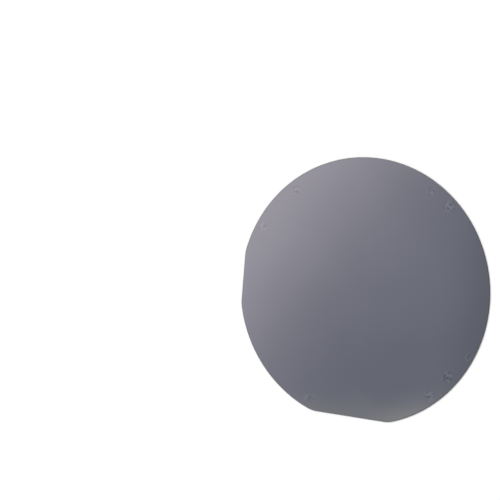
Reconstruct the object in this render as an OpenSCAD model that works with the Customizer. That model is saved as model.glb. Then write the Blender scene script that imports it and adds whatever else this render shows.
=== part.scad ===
// Silicon wafer: one thin slice of a single crystal, lying on its back with
// the polished face up. The outline is a circle with two flats, and the whole
// edge is ground to one section: a bevel to each face and a rounded apex.
//
// Origin: centre of the round outline, on the back face.
// The primary flat faces -Y, and +Z points out of the polished face.

/* [Slice] */
// Diameter of the round outline
wafer_d = 100; // [75:1:150]
// Thickness, from the back face to the polished face
thickness = 0.525; // [0.4:0.005:0.8]

/* [Flats] */
// Length of the primary flat, which marks the crystal's direction
primary_flat = 31; // [15:0.5:45]
// Length of the secondary flat, which marks the type of the crystal
secondary_flat = 20; // [10:0.5:30]
// Turn from the primary flat to the secondary one, clockwise from above
secondary_turn = 90; // [45, 90, 135, 180]
// Radius that blends each end of a flat into the round outline
corner_r = 12; // [2:0.5:15]

/* [Ground edge] */
// Slope of the bevels against the faces
bevel_angle = 22; // [15:1:30]
// Width of each bevel, from the rim of the face to the outline
bevel_w = 0.3; // [0.2:0.01:0.4]
// Radius that rounds each bevel into the upright land
apex_r = 0.1; // [0.05:0.01:0.18]

/* [Hidden] */
$fn = 96;

silicon = [0.42, 0.42, 0.47];
wafer_r = wafer_d / 2;
mid_z = thickness / 2;

// Half the height of the edge's upright land, before its corners are rounded
land_half = mid_z - bevel_w * tan(bevel_angle);
// Length that the rounding takes off the land and off the bevel
apex_trim = apex_r * tan((90 - bevel_angle) / 2);

// Stock that the sawn slice has outside its finished outline
stock = 0.5;
// The grinding wheel: how far its cheeks reach over the faces beyond the
// bevels, how far they stand above the faces, and its depth past the stock
wheel_reach = 0.5;
wheel_cheek = 0.1;
wheel_depth = 0.5;

// A blend stands this far proud of the surfaces that it joins, so that it
// crosses them cleanly where an exact tangent would only touch
apex_proud = 0.00002;
corner_proud = 0.001;

// Distance from the centre of the outline to a flat of a given length
function flat_distance(length) = sqrt(wafer_r ^ 2 - (length / 2) ^ 2);

// Angle, seen from the centre, from the middle of a flat to the centre of the
// arc that blends one of its ends
function corner_angle(length) =
    acos((flat_distance(length) - corner_r) / (wafer_r - corner_r));

// Section of the edge, pointing along +X with its outermost line on x = 0. The
// bevels run on past the faces as one long wedge.
module edge_section() {
    depth = bevel_w + 2 * wheel_reach;
    rise = land_half + depth * tan(bevel_angle);
    bevel_x = -apex_trim * cos(bevel_angle);
    bevel_y = land_half + apex_trim * sin(bevel_angle);
    arc_y = land_half - apex_trim;
    polygon([
        [-depth, -rise], [bevel_x, -bevel_y], [0, -arc_y],
        [0, arc_y], [bevel_x, bevel_y], [-depth, rise]
    ]);
    for (side = [-1, 1])
        translate([-apex_r, side * arc_y]) circle(apex_r + apex_proud);
}

// Section of the grinding wheel's rim, whose groove leaves the edge section. It
// clears away what stands outside the outline by up to cleared.
module wheel_section(cleared = stock) {
    reach = bevel_w + wheel_reach;
    half = mid_z + wheel_cheek;
    difference() {
        translate([-reach, -half]) square([reach + cleared + wheel_depth, 2 * half]);
        edge_section();
    }
}

// The sawn slice, round and oversize by the stock
module blank() {
    cylinder(h = thickness, r = wafer_r + stock);
}

// One pass of the wheel round the whole outline
module grind_round() {
    translate([0, 0, mid_z]) rotate_extrude() translate([wafer_r, 0]) wheel_section();
}

// One straight pass of the wheel, which leaves a flat that faces +X
module grind_flat(length) {
    pass = length + 4 * wheel_depth;
    cap = wafer_r - flat_distance(length);
    translate([flat_distance(length), 0, mid_z])
        rotate([90, 0, 0]) translate([0, 0, -pass / 2])
            linear_extrude(pass) wheel_section(cap);
}

// One turn of the wheel at each end of a flat that faces +X
module grind_corners(length) {
    turn = corner_angle(length);
    for (side = [-1, 1])
        rotate(side * turn) translate([wafer_r - corner_r, 0, mid_z])
            rotate(side > 0 ? -turn : 0)
                rotate_extrude(angle = turn)
                    translate([corner_r + corner_proud, 0]) wheel_section();
}

module wafer() {
    color(silicon) difference() {
        blank();
        grind_round();
        for (flat = [[primary_flat, 0], [secondary_flat, secondary_turn]])
            rotate(-90 - flat[1]) {
                grind_flat(flat[0]);
                grind_corners(flat[0]);
            }
    }
}

wafer();
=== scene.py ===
"""A polished silicon wafer that lies face up on a pale table, inside a soft studio tent."""

import math

import bpy
import numpy as np
from mathutils import Matrix, Vector


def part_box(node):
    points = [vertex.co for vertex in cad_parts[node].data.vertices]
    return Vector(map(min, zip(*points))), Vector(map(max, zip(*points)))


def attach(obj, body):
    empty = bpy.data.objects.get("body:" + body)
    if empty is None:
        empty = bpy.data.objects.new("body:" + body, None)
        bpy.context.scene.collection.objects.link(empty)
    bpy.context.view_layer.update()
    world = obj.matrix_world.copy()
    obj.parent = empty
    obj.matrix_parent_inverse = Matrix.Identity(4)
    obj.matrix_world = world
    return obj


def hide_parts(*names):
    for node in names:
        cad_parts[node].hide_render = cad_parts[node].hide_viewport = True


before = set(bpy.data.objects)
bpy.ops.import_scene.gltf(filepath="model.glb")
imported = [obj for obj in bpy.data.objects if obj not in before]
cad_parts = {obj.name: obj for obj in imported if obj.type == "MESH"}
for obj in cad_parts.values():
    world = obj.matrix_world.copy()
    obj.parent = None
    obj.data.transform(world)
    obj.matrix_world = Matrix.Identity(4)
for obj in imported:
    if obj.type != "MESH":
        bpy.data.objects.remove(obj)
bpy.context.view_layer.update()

# ----------------------------------------------------------------------------------------
# Wafer: one slice sawn from a single crystal of silicon. Two flats are ground on its round
# outline, the whole edge is ground to one bevelled section, the back is etched to an even
# satin, and the front is polished to a mirror.
# ----------------------------------------------------------------------------------------

box_low, box_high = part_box("wafer")
ROUND_R = box_high.y
THICKNESS = box_high.z
# The secondary and the primary flat: distance from the centre, and the direction that it faces
FLATS = ((-box_low.x, math.pi), (-box_low.y, 1.5 * math.pi))
CORNER_R = 0.012  # blends each end of a flat into the round
BEVEL_W = 0.0003  # from the rim of a face to the outline
BEVEL_ANGLE = math.radians(22)
APEX_R = 0.0001  # rounds each bevel into the edge's upright land


def corner_turn(distance):
    """Angle of the arc of CORNER_R that joins a flat at this distance from the centre to the round. Its
    cosine is that distance over the round's radius, both less CORNER_R."""
    return math.acos((distance - CORNER_R) / (ROUND_R - CORNER_R))


def outline(round_step=math.radians(0.5), corner_step=math.radians(1.5), flat_step=0.0005):
    """Stations round the outline, drawn by an arm that turns about a centre: the long arm about the
    wafer's centre, and the short one at a corner. Where the short arm's centre moves from one corner
    to the next and the arm doesn't turn, it draws a flat. Returns the points and outward directions."""
    middle = np.zeros(2)
    arms = []
    for i, (distance, facing) in enumerate(FLATS):
        turn = corner_turn(distance)
        left, right = (
            (ROUND_R - CORNER_R) * np.array([math.cos(facing + a), math.sin(facing + a)])
            for a in (-turn, turn)
        )
        other_distance, other_facing = FLATS[1 - i]
        round_start = facing + turn
        round_end = facing + (other_facing - facing) % (2 * math.pi) - corner_turn(other_distance)
        round_steps = (round_end - round_start) / round_step
        arms += [
            (left, left, CORNER_R, facing - turn, facing, turn / corner_step),
            (left, right, CORNER_R, facing, facing, math.dist(left, right) / flat_step),
            (right, right, CORNER_R, facing, round_start, turn / corner_step),
            (middle, middle, ROUND_R, round_start, round_end, round_steps),
        ]
    points, outward = [], []
    for start, stop, arm, from_angle, to_angle, steps in arms:
        t = np.linspace(0, 1, int(steps), endpoint=False)[:, None]
        angle = from_angle + (to_angle - from_angle) * t
        direction = np.hstack([np.cos(angle), np.sin(angle)])
        points.append(start + (stop - start) * t + arm * direction)
        outward.append(direction)
    return np.vstack(points), np.vstack(outward)


def edge_section(apex_steps=8):
    """The edge's section from the front rim to the back rim, as rows of inset from the outline and
    height: a straight bevel, an arc tangent to the bevel and the upright land, then the same mirrored."""
    land_top = THICKNESS / 2 - BEVEL_W * math.tan(BEVEL_ANGLE)
    trim = APEX_R * math.tan((math.pi / 2 - BEVEL_ANGLE) / 2)
    angle = np.linspace(math.pi / 2 - BEVEL_ANGLE, 0, apex_steps + 1)
    arc = np.column_stack([1 - np.cos(angle), np.sin(angle)]) * APEX_R + [0, land_top - trim]
    upper = np.vstack([[BEVEL_W, THICKNESS / 2], arc])
    lower = upper[::-1] * [1, -1]
    return np.vstack([upper, lower]) + [0, THICKNESS / 2]


def slice_rows(face_rings=14, edge_stretch=4.0):
    """The section from the front's centre over the edge to the back's centre, as rows of scale about
    the centre, inset, height, and the inset in the front's map. There the edge is unrolled outward and
    stretched, so that it isn't lost. The faces are rings that shrink evenly to the centre. Returns the
    rows, and which of them are the front rim and the back rim."""
    section = edge_section()
    run = np.concatenate([[0], np.cumsum(np.linalg.norm(np.diff(section, axis=0), axis=1))])
    edge = np.column_stack([np.ones(len(section)), section, BEVEL_W - edge_stretch * run])
    shrink = np.linspace(0, 1, face_rings, endpoint=False)[1:, None]
    front = np.hstack([shrink, edge[[0] * len(shrink), 1:]])
    back = np.hstack([shrink[::-1], edge[[-1] * len(shrink), 1:]])
    return np.vstack([front, edge, back]), len(front), len(front) + len(edge) - 1


def mark_rims(mesh, rims, stations):
    """Makes the edges along the rows with these numbers sharp: there the faces meet the bevels."""
    ends = np.empty(2 * len(mesh.edges), int)
    mesh.edges.foreach_get("vertices", ends)
    end_row = ends.reshape(-1, 2) // stations
    on_rim = np.isin(end_row, rims).all(axis=1) & (np.ptp(end_row, axis=1) == 0)
    mesh.attributes.new("sharp_edge", "BOOLEAN", "EDGE").data.foreach_set("value", on_rim)


def lay_map(mesh, unrolled, plan, on_back, gap=0.003, both_radii=0.58):
    """The piece's map, from two layouts of its points. A disc in the lower left corner is the front with
    the edge unrolled round it, and one in the upper right corner is the plan of the back, turned over.
    Each keeps a gap from the sides, and both have the scale at which their radii add up to both_radii."""
    front_r = np.abs(unrolled).max()
    size = both_radii / (front_r + ROUND_R)
    front_map = unrolled * size + front_r * size + gap
    back_map = plan * [-size, size] + 1 - ROUND_R * size - gap
    corner, sides = np.empty(len(mesh.loops), int), np.empty(len(mesh.polygons), int)
    mesh.loops.foreach_get("vertex_index", corner)
    mesh.polygons.foreach_get("loop_total", sides)
    uv = np.where(on_back.repeat(sides)[:, None], back_map[corner], front_map[corner])
    mesh.uv_layers.new(name="OFBake").data.foreach_set("uv", uv.ravel())


def build_slice():
    """The section carried round the outline: the point at a row and a station is the station's point,
    moved in by the row's inset, scaled about the centre and set at the row's height. A fan of
    triangles closes each face at its centre."""
    points, outward = outline()
    rows, front_rim, back_rim = slice_rows()
    scale, inset, height, map_inset = (rows[:, k, None, None] for k in range(4))
    stations = len(points)
    plan = scale * (points - inset * outward)
    grid = np.concatenate([plan, np.broadcast_to(height, (*plan.shape[:2], 1))], axis=2)
    vertices = np.vstack([grid.reshape(-1, 3), [[0, 0, THICKNESS], [0, 0, 0]]])

    here = np.arange(len(rows) * stations).reshape(len(rows), stations)
    onward = np.roll(here, -1, axis=1)
    quads = np.stack([here[:-1], here[1:], onward[1:], onward[:-1]], axis=-1).reshape(-1, 4)
    front_pole, back_pole = (np.full(stations, len(vertices) - k) for k in (2, 1))
    front_fan = np.column_stack([here[0], onward[0], front_pole])
    back_fan = np.column_stack([onward[-1], here[-1], back_pole])
    mesh = bpy.data.meshes.new("wafer_slice")
    faces = [*quads.tolist(), *front_fan.tolist(), *back_fan.tolist()]
    mesh.from_pydata(vertices.tolist(), [], faces)

    # The front is material 0, the edge 1 and the back 2
    quad_row = np.arange(len(rows) - 1).repeat(stations)
    quad_zone = np.where(quad_row < front_rim, 0, np.where(quad_row < back_rim, 1, 2))
    zone = np.concatenate([quad_zone, np.zeros(stations, int), np.full(stations, 2)])
    mesh.polygons.foreach_set("material_index", zone)
    mesh.polygons.foreach_set("use_smooth", np.ones(len(zone), bool))
    mark_rims(mesh, (front_rim, back_rim), stations)
    unrolled = (scale * (points - map_inset * outward)).reshape(-1, 2)
    lay_map(mesh, np.vstack([unrolled, np.zeros((2, 2))]), vertices[:, :2], zone == 2)
    mesh.update()
    return mesh


wafer = bpy.data.objects.new("wafer_slice", build_slice())
bpy.context.scene.collection.objects.link(wafer)
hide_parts("wafer")
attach(wafer, "root")


def node(tree, kind, values=None, **settings):
    """A node of this kind, with its settings and the values of its inputs."""
    made = tree.nodes.new(kind)
    for name, value in settings.items():
        setattr(made, name, value)
    for socket, value in (values or {}).items():
        made.inputs[socket].default_value = value
    return made


def link(tree, *pairs):
    """Joins each output to the input beside it."""
    for output, socket in pairs:
        tree.links.new(output, socket)


def greater(tree, one, other):
    """The greater of two values."""
    either = node(tree, "ShaderNodeMath", operation="MAXIMUM")
    link(tree, (one, either.inputs[0]), (other, either.inputs[1]))
    return either.outputs["Value"]


def laid_over(tree, under, over, cover, blend="MIX"):
    """A colour laid over another, or blended into it, as far as a mask covers it. The one under may be
    a node's output."""
    mix = node(tree, "ShaderNodeMix", {"B": over}, data_type="RGBA", blend_type=blend)
    link(tree, (cover, mix.inputs["Factor"]))
    if isinstance(under, tuple):
        mix.inputs["A"].default_value = under
    else:
        link(tree, (under, mix.inputs["A"]))
    return mix.outputs["Result"]


def new_surface(name):
    """A bare metal surface: its material, its node tree, its shader and the place on the wafer."""
    material = bpy.data.materials.new(name)
    material.use_nodes = True
    tree = material.node_tree
    shader = tree.nodes["Principled BSDF"]
    shader.inputs["Metallic"].default_value = 1.0
    return material, tree, shader.inputs, node(tree, "ShaderNodeTexCoord").outputs["Object"]


def new_effect(name, inputs, outputs):
    """An empty node group, with inputs that have these names and values and outputs with these names.
    An input without a value is a place on the surface."""
    tree = bpy.data.node_groups.new(name, "ShaderNodeTree")
    for label, value in inputs.items():
        kind = "NodeSocketVector" if value is None else "NodeSocketFloat"
        socket = tree.interface.new_socket(label, in_out="INPUT", socket_type=kind)
        if value is not None:
            socket.default_value = value
    for label in outputs:
        tree.interface.new_socket(label, in_out="OUTPUT", socket_type="NodeSocketFloat")
    return tree, tree.nodes.new("NodeGroupInput").outputs, tree.nodes.new("NodeGroupOutput").inputs


def with_effect(tree, effect, place, **values):
    """An effect put into a material with its own values. Returns its outputs."""
    made = node(tree, "ShaderNodeGroup", node_tree=effect)
    for label, value in values.items():
        made.inputs[label].default_value = value
    link(tree, (place, made.inputs["Place"]))
    return made.outputs


def make_clouds():
    """Soft clouds: noise of a given scale, faded in between two of its values."""
    inputs = {"Place": None, "Scale": 50.0, "From": 0.45, "To": 0.65}
    tree, given, put = new_effect("soft_clouds", inputs, ["Cover"])
    noise = node(tree, "ShaderNodeTexNoise", {"Detail": 3.0, "Roughness": 0.45})
    fade = node(tree, "ShaderNodeMapRange", interpolation_type="SMOOTHSTEP")
    link(
        tree,
        (given["Place"], noise.inputs["Vector"]),
        (given["Scale"], noise.inputs["Scale"]),
        (noise.outputs["Fac"], fade.inputs["Value"]),
        (given["From"], fade.inputs["From Min"]),
        (given["To"], fade.inputs["From Max"]),
        (fade.outputs["Result"], put["Cover"]),
    )
    return tree


def make_touch_mark():
    """A dried touch mark: small drops, scattered about 1.1 mm apart and drawn out along the given way,
    and a thin film between them. Both fade from the given strength at the mark's centre to nothing at
    its size."""
    inputs = {"Place": None, "Centre": None, "Way": 0.0, "Size": 0.0024, "Strength": 1.0}
    tree, given, put = new_effect("touch_mark", inputs, ["Drops", "Film"])
    away = node(tree, "ShaderNodeVectorMath", operation="DISTANCE")
    fade = node(tree, "ShaderNodeMapRange", {"To Max": 0.0}, interpolation_type="SMOOTHSTEP")
    turned = node(tree, "ShaderNodeVectorRotate", rotation_type="Z_AXIS", invert=True)
    drawn_out = node(tree, "ShaderNodeVectorMath", {1: (0.6, 1, 1)}, operation="MULTIPLY")
    scatter = {"Scale": 900.0}
    from_drop = node(tree, "ShaderNodeTexVoronoi", scatter, voronoi_dimensions="2D")
    link(
        tree,
        (given["Place"], away.inputs[0]),
        (given["Centre"], away.inputs[1]),
        (away.outputs["Value"], fade.inputs["Value"]),
        (given["Size"], fade.inputs["From Max"]),
        (given["Strength"], fade.inputs["To Min"]),
        (given["Place"], turned.inputs["Vector"]),
        (given["Centre"], turned.inputs["Center"]),
        (given["Way"], turned.inputs["Angle"]),
        (turned.outputs["Vector"], drawn_out.inputs[0]),
        (drawn_out.outputs["Vector"], from_drop.inputs["Vector"]),
    )
    # Each part starts so far from a drop's middle, and is full so far from it, in steps of the scatter
    for label, start, full in (("Drops", 0.4, 0.15), ("Film", 0.4, 0.65)):
        spread = node(tree, "ShaderNodeMapRange", {"From Min": start, "From Max": full})
        faded = node(tree, "ShaderNodeMath", operation="MULTIPLY")
        link(
            tree,
            (from_drop.outputs["Distance"], spread.inputs["Value"]),
            (spread.outputs["Result"], faded.inputs[0]),
            (fade.outputs["Result"], faded.inputs[1]),
            (faded.outputs["Value"], put[label]),
        )
    return tree


soft_clouds = make_clouds()
touch_mark = make_touch_mark()

# The holder that carried the wafer through its last wash gripped it near the rim: the direction of
# each place in degrees, its distance from the centre, and the size and the strength of its mark
GRIP_MARKS = (
    (154, 0.0470, 0.0026, 0.3),
    (130, 0.0464, 0.0028, 0.35),
    (58, 0.0464, 0.0026, 0.4),
    (47, 0.0468, 0.0034, 0.65),
    (-24, 0.0476, 0.0026, 0.45),
    (-37, 0.0459, 0.0032, 0.85),
    (-49, 0.0467, 0.0028, 0.55),
    (-112, 0.0466, 0.0034, 0.35),
)


def polished_front():
    """Mirror polish: silicon's own blue-grey reflection, a trace of haze in soft clouds, the shallow
    wave that the polishing pad leaves, and faint marks of dried drops where the holder gripped."""
    silicon, hazy_silicon = (0.358, 0.351, 0.404, 1), (0.370, 0.363, 0.416, 1)
    dried_film, dried_drop = (0.54, 0.535, 0.575, 1), (0.15, 0.145, 0.17, 1)
    wave_height, drop_height = 0.000006, 0.000003
    material, tree, shader, place = new_surface("polished_front")
    haze = with_effect(tree, soft_clouds, place, Scale=45.0, From=0.35, To=0.75)["Cover"]
    dried = {}
    for direction, distance, size, strength in GRIP_MARKS:
        angle = math.radians(direction)
        centre = (distance * math.cos(angle), distance * math.sin(angle), THICKNESS)
        spot = {"Centre": centre, "Way": angle + math.pi / 2, "Size": size, "Strength": strength}
        mark = with_effect(tree, touch_mark, place, **spot)
        for part in ("Drops", "Film"):
            dried[part] = greater(tree, dried[part], mark[part]) if part in dried else mark[part]

    colour = laid_over(tree, silicon, hazy_silicon, haze)
    colour = laid_over(tree, colour, dried_film, dried["Film"])
    colour = laid_over(tree, colour, dried_drop, dried["Drops"])
    hazed = node(tree, "ShaderNodeMapRange", {"To Min": 0.05, "To Max": 0.10})  # clear to hazy
    dulled = node(tree, "ShaderNodeMath", {1: 0.12}, operation="MULTIPLY_ADD")  # a drop adds to that
    wave = node(tree, "ShaderNodeTexNoise", {"Scale": 28.0, "Detail": 0.0})
    swell = node(tree, "ShaderNodeBump", {"Strength": 1.0, "Distance": wave_height})
    drops = node(tree, "ShaderNodeBump", {"Strength": 1.0, "Distance": drop_height})
    link(
        tree,
        (colour, shader["Base Color"]),
        (haze, hazed.inputs["Value"]),
        (dried["Drops"], dulled.inputs[0]),
        (hazed.outputs["Result"], dulled.inputs[2]),
        (dulled.outputs["Value"], shader["Roughness"]),
        (place, wave.inputs["Vector"]),
        (wave.outputs["Fac"], swell.inputs["Height"]),
        (dried["Drops"], drops.inputs["Height"]),
        (swell.outputs["Normal"], drops.inputs["Normal"]),
        (drops.outputs["Normal"], shader["Normal"]),
    )
    return material


def ground_edge():
    """Edge as the diamond wheel leaves it: a dark satin, with fine lines that run along the outline."""
    groove, ridge = (0.19, 0.19, 0.205, 1), (0.27, 0.27, 0.29, 1)
    ridge_height = 0.00001
    material, tree, shader, place = new_surface("ground_edge")
    along = node(tree, "ShaderNodeMapping", {"Scale": (300.0, 300.0, 30000.0)})  # level streaks
    noise = node(tree, "ShaderNodeTexNoise", {"Scale": 1.0, "Detail": 3.0})
    lines = noise.outputs["Fac"]
    dull = node(tree, "ShaderNodeMapRange", {"To Min": 0.34, "To Max": 0.46})  # groove to ridge
    relief = node(tree, "ShaderNodeBump", {"Strength": 0.5, "Distance": ridge_height})
    link(
        tree,
        (place, along.inputs["Vector"]),
        (along.outputs["Vector"], noise.inputs["Vector"]),
        (laid_over(tree, groove, ridge, lines), shader["Base Color"]),
        (lines, dull.inputs["Value"]),
        (dull.outputs["Result"], shader["Roughness"]),
        (lines, relief.inputs["Height"]),
        (relief.outputs["Normal"], shader["Normal"]),
    )
    return material


def etched_back():
    """Back as the acid leaves it: an even grey satin of shallow pits, with faint clouds of stain."""
    etched, stained = (0.33, 0.33, 0.35, 1), (0.295, 0.295, 0.32, 1)
    pit_depth = 0.00004
    material, tree, shader, place = new_surface("etched_back")
    stain = with_effect(tree, soft_clouds, place, Scale=70.0, From=0.3, To=0.75)["Cover"]
    pits = node(tree, "ShaderNodeTexVoronoi", {"Scale": 1400.0}, feature="SMOOTH_F1")
    dull = node(tree, "ShaderNodeMapRange", {"To Min": 0.42, "To Max": 0.48})  # clean to stained
    grain = node(tree, "ShaderNodeBump", {"Strength": 0.6, "Distance": pit_depth})
    link(
        tree,
        (laid_over(tree, etched, stained, stain), shader["Base Color"]),
        (stain, dull.inputs["Value"]),
        (dull.outputs["Result"], shader["Roughness"]),
        (place, pits.inputs["Vector"]),
        (pits.outputs["Distance"], grain.inputs["Height"]),
        (grain.outputs["Normal"], shader["Normal"]),
    )
    return material


for surface in (polished_front(), ground_edge(), etched_back()):
    wafer.data.materials.append(surface)

# ----------------------------------------------------------------------------------------
# Table: a plain matt white sheet, on which the wafer lies on its back. Lit by the room and
# one broad lamp, it is white to the eye and keeps the wafer's thin shadow.
# ----------------------------------------------------------------------------------------

TABLE_HALF = 6.0
TABLE_DROP = 0.00001  # keeps the sheet off the wafer's back
TABLE_WHITE = (0.8, 0.8, 0.8, 1)  # the sheet's own white, which it throws back on the wafer


def build_table():
    """A square sheet just under the wafer."""
    corners = np.array([(-1, -1), (1, -1), (1, 1), (-1, 1)]) * TABLE_HALF
    mesh = bpy.data.meshes.new("table")
    mesh.from_pydata(np.column_stack([corners, np.full(4, -TABLE_DROP)]).tolist(), [], [(0, 1, 2, 3)])
    return mesh


def seen_directly(tree):
    """1 on the rays that the camera, a mirror or glass sends, and 0 on those that light a surface."""
    rays = node(tree, "ShaderNodeLightPath").outputs
    mirrored = greater(tree, rays["Is Glossy Ray"], rays["Is Transmission Ray"])
    return greater(tree, rays["Is Camera Ray"], mirrored)


table = bpy.data.objects.new("table", build_table())
bpy.context.scene.collection.objects.link(table)

sheet = bpy.data.materials.new("table_sheet")
sheet.use_nodes = True
sheet.node_tree.nodes.clear()
white = laid_over(sheet.node_tree, TABLE_WHITE, (1, 1, 1, 1), seen_directly(sheet.node_tree))
matt = node(sheet.node_tree, "ShaderNodeBsdfDiffuse")
sheet_output = node(sheet.node_tree, "ShaderNodeOutputMaterial")
link(
    sheet.node_tree,
    (white, matt.inputs["Color"]),
    (matt.outputs["BSDF"], sheet_output.inputs["Surface"]),
)
table.data.materials.append(sheet)

# ----------------------------------------------------------------------------------------
# Tent: a dome of white cloth over the table, as is put up round shiny things. It is no lamp, but
# glows with painted light and shade as if lit from one side, so what the polish mirrors runs from
# white to a cool grey, and a painted warm glow stands for a white card in its front. Only mirrors
# see it: the camera looks and the lamp shines through it.
# ----------------------------------------------------------------------------------------

TENT_R = 0.45
# The cloth's glow where painted shade falls on it, and where painted light falls on it
CLOTH_PAINTED_SHADE = (0.342, 0.367, 0.409, 1)
CLOTH_PAINTED_LIGHT = (1.0, 0.970, 0.962, 1)
# Lengths and places on the tent are shares of TENT_R, from its centre
BRIGHT_SIDE = Vector((-0.543, 0.520, -0.659))  # the direction in which the cloth is brightest
HALF_BRIGHT = -0.354  # how far that way it is half bright
FALL_OFF = 0.105
# Painted light and shade, laid unevenly on the cloth's glow: how it changes the colour and by how
# much, the axis that it changes along, where it is half as strong, and how softly it sets in
# (negative: as the axis falls)
PAINTED_UNEVEN_LIGHT = (
    # Each is painted: the table's glow on the front and on the foot, and the shade on the far side
    ("ADD", (0.110, 0.110, 0.046, 1), "Y", -0.250, -0.012),  # the table's glow on the front
    ("SUBTRACT", (0.053, 0.060, 0.077, 1), "X", -0.202, 0.024),  # the shade on the far side
    ("SCREEN", (0.4, 0.4, 0.4, 1), "Z", 0.45, -0.15),  # the table's glow on the foot, all round
)
# Soft patches of painted light on the cloth's glow: how each changes the colour and by how much, the
# direction of its middle, and how far it reaches from there to the end of its soft edge
PAINTED_PATCHES = (
    ("ADD", (0.052, 0.052, 0.052, 1), (-0.298, -0.026, 0.954), 0.167),  # a faint glow near the top
    # The card is no object: a painted warm glow on the cloth stands for it
    ("MIX", (0.99, 1.0, 0.79, 1), (-0.210, -0.350, 0.913), 0.16),  # the card
)


def build_tent(rings=24, sectors=96):
    """Half a sphere: each point is TENT_R away, at its ring's elevation and its sector's direction."""
    elevation = np.linspace(0, math.pi / 2, rings, endpoint=False)[:, None]
    direction = np.linspace(0, 2 * math.pi, sectors, endpoint=False)[None, :]
    x, y = np.cos(elevation) * np.cos(direction), np.cos(elevation) * np.sin(direction)
    grid = np.stack([x, y, np.sin(elevation) + 0 * direction], axis=-1) * TENT_R
    vertices = np.vstack([grid.reshape(-1, 3), [[0, 0, TENT_R]]])
    here = np.arange(rings * sectors).reshape(rings, sectors)
    onward = np.roll(here, -1, axis=1)
    quads = np.stack([here[:-1], onward[:-1], onward[1:], here[1:]], axis=-1).reshape(-1, 4)
    cap = np.column_stack([here[-1], onward[-1], np.full(sectors, rings * sectors)])
    mesh = bpy.data.meshes.new("tent")
    mesh.from_pydata(vertices.tolist(), [], [*quads.tolist(), *cap.tolist()])
    return mesh


def soft_step(tree, value, middle, width):
    """Half of one plus the hyperbolic tangent of how far the value is past the middle, in widths."""
    past = node(tree, "ShaderNodeMath", {1: middle}, operation="SUBTRACT")
    widths = node(tree, "ShaderNodeMath", {1: width}, operation="DIVIDE")
    bend = node(tree, "ShaderNodeMath", operation="TANH")
    half = node(tree, "ShaderNodeMath", {1: 0.5, 2: 0.5}, operation="MULTIPLY_ADD")
    link(
        tree,
        (value, past.inputs[0]),
        (past.outputs["Value"], widths.inputs[0]),
        (widths.outputs["Value"], bend.inputs[0]),
        (bend.outputs["Value"], half.inputs[0]),
    )
    return half.outputs["Value"]


tent = bpy.data.objects.new("tent", build_tent())
bpy.context.scene.collection.objects.link(tent)
tent.visible_camera = False
tent.visible_diffuse = False
tent.visible_shadow = False
tent.visible_transmission = False

cloth = bpy.data.materials.new("tent_cloth_painted_glow")
cloth.use_nodes = True
weave = cloth.node_tree
weave.nodes.clear()
way = node(weave, "ShaderNodeVectorMath", operation="NORMALIZE")
parts = node(weave, "ShaderNodeSeparateXYZ")
towards = node(weave, "ShaderNodeVectorMath", {1: BRIGHT_SIDE}, operation="DOT_PRODUCT")
link(
    weave,
    (node(weave, "ShaderNodeTexCoord").outputs["Object"], way.inputs[0]),
    (way.outputs["Vector"], parts.inputs["Vector"]),
    (way.outputs["Vector"], towards.inputs[0]),
)
# Painted light and shade: the glow runs from the shaded colour to the lit one towards BRIGHT_SIDE
lit = soft_step(weave, towards.outputs["Value"], HALF_BRIGHT, FALL_OFF)
seen = laid_over(weave, CLOTH_PAINTED_SHADE, CLOTH_PAINTED_LIGHT, lit)
for blend, colour, axis, middle, width in PAINTED_UNEVEN_LIGHT:
    seen = laid_over(weave, seen, colour, soft_step(weave, parts.outputs[axis], middle, width), blend)
for blend, colour, middle, reach in PAINTED_PATCHES:
    away = node(weave, "ShaderNodeVectorMath", {1: middle}, operation="DISTANCE")
    spread = {"From Min": reach, "From Max": 0.0}
    fade = node(weave, "ShaderNodeMapRange", spread, interpolation_type="SMOOTHSTEP")
    link(weave, (way.outputs["Vector"], away.inputs[0]), (away.outputs["Value"], fade.inputs["Value"]))
    seen = laid_over(weave, seen, colour, fade.outputs["Result"], blend)
glow = node(weave, "ShaderNodeEmission")
cloth_output = node(weave, "ShaderNodeOutputMaterial")
link(weave, (seen, glow.inputs["Color"]), (glow.outputs["Emission"], cloth_output.inputs["Surface"]))
tent.data.materials.append(cloth)

# ----------------------------------------------------------------------------------------
# Light: an even white room, and one broad lamp high on the tent's bright side. The lamp is
# soft, so the wafer's shadow is a faint one, and the polish doesn't mirror it.
# ----------------------------------------------------------------------------------------

ROOM_LIGHT = 0.72
LAMP_POWER = 1.25
LAMP_HEIGHT = math.radians(55)
LAMP_BREADTH = math.radians(50)

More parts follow.
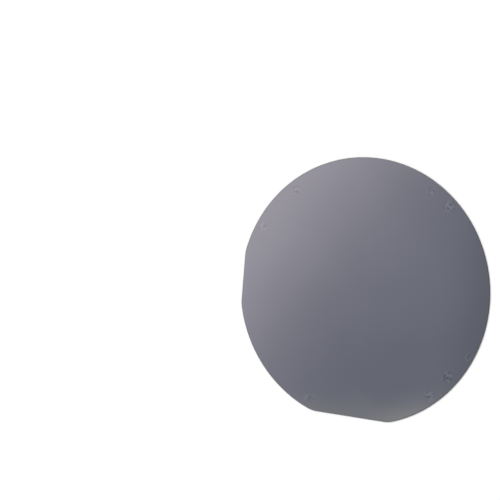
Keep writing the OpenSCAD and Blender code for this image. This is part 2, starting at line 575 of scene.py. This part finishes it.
room = bpy.data.worlds.new("room")
bpy.context.scene.world = room
room.use_nodes = True
room.node_tree.nodes.clear()
level = node(room.node_tree, "ShaderNodeMapRange", {"To Min": ROOM_LIGHT, "To Max": 1.0})
walls = node(room.node_tree, "ShaderNodeBackground", {"Color": (1, 1, 1, 1)})
room_output = node(room.node_tree, "ShaderNodeOutputWorld")
link(
    room.node_tree,
    (seen_directly(room.node_tree), level.inputs["Value"]),
    (level.outputs["Result"], walls.inputs["Strength"]),
    (walls.outputs["Background"], room_output.inputs["Surface"]),
)

lamp_data = bpy.data.lights.new("broad_lamp", "SUN")
lamp_data.energy = LAMP_POWER
lamp_data.angle = LAMP_BREADTH
lamp = bpy.data.objects.new("broad_lamp", lamp_data)
lamp.visible_glossy = False
level_way = Vector((BRIGHT_SIDE.x, BRIGHT_SIDE.y, 0)).normalized()
lamp_way = level_way * math.cos(LAMP_HEIGHT) + Vector((0, 0, math.sin(LAMP_HEIGHT)))
lamp.rotation_euler = lamp_way.to_track_quat("Z", "Y").to_euler()
bpy.context.scene.collection.objects.link(lamp)

# ----------------------------------------------------------------------------------------
# Camera: looks down on the wafer from its right, with the primary flat at the bottom of the
# view and the secondary flat at its left. The wafer fills the right half of the view.
# ----------------------------------------------------------------------------------------

face_centre = Vector((0, 0, THICKNESS))
view_from = face_centre + Vector((0.1892, 0.0397, 0.4847))
view_to = face_centre + Vector((-0.0470, 0.0109, 0))
upright = math.radians(5.09)  # from +Y towards -X, the direction that stands upright in the view

ahead = (view_to - view_from).normalized()
right = ahead.cross(Vector((-math.sin(upright), math.cos(upright), 0))).normalized()
turned = Matrix((right, right.cross(ahead), -ahead)).transposed().to_4x4()
camera_data = bpy.data.cameras.new("camera")
camera_data.lens = 100
camera_data.sensor_width = 36
camera_data.clip_start = 0.01
camera_data.clip_end = 20
camera = bpy.data.objects.new("camera", camera_data)
camera.matrix_world = Matrix.Translation(view_from) @ turned
bpy.context.scene.collection.objects.link(camera)
bpy.context.scene.camera = camera
bpy.context.scene.view_settings.view_transform = "Standard"
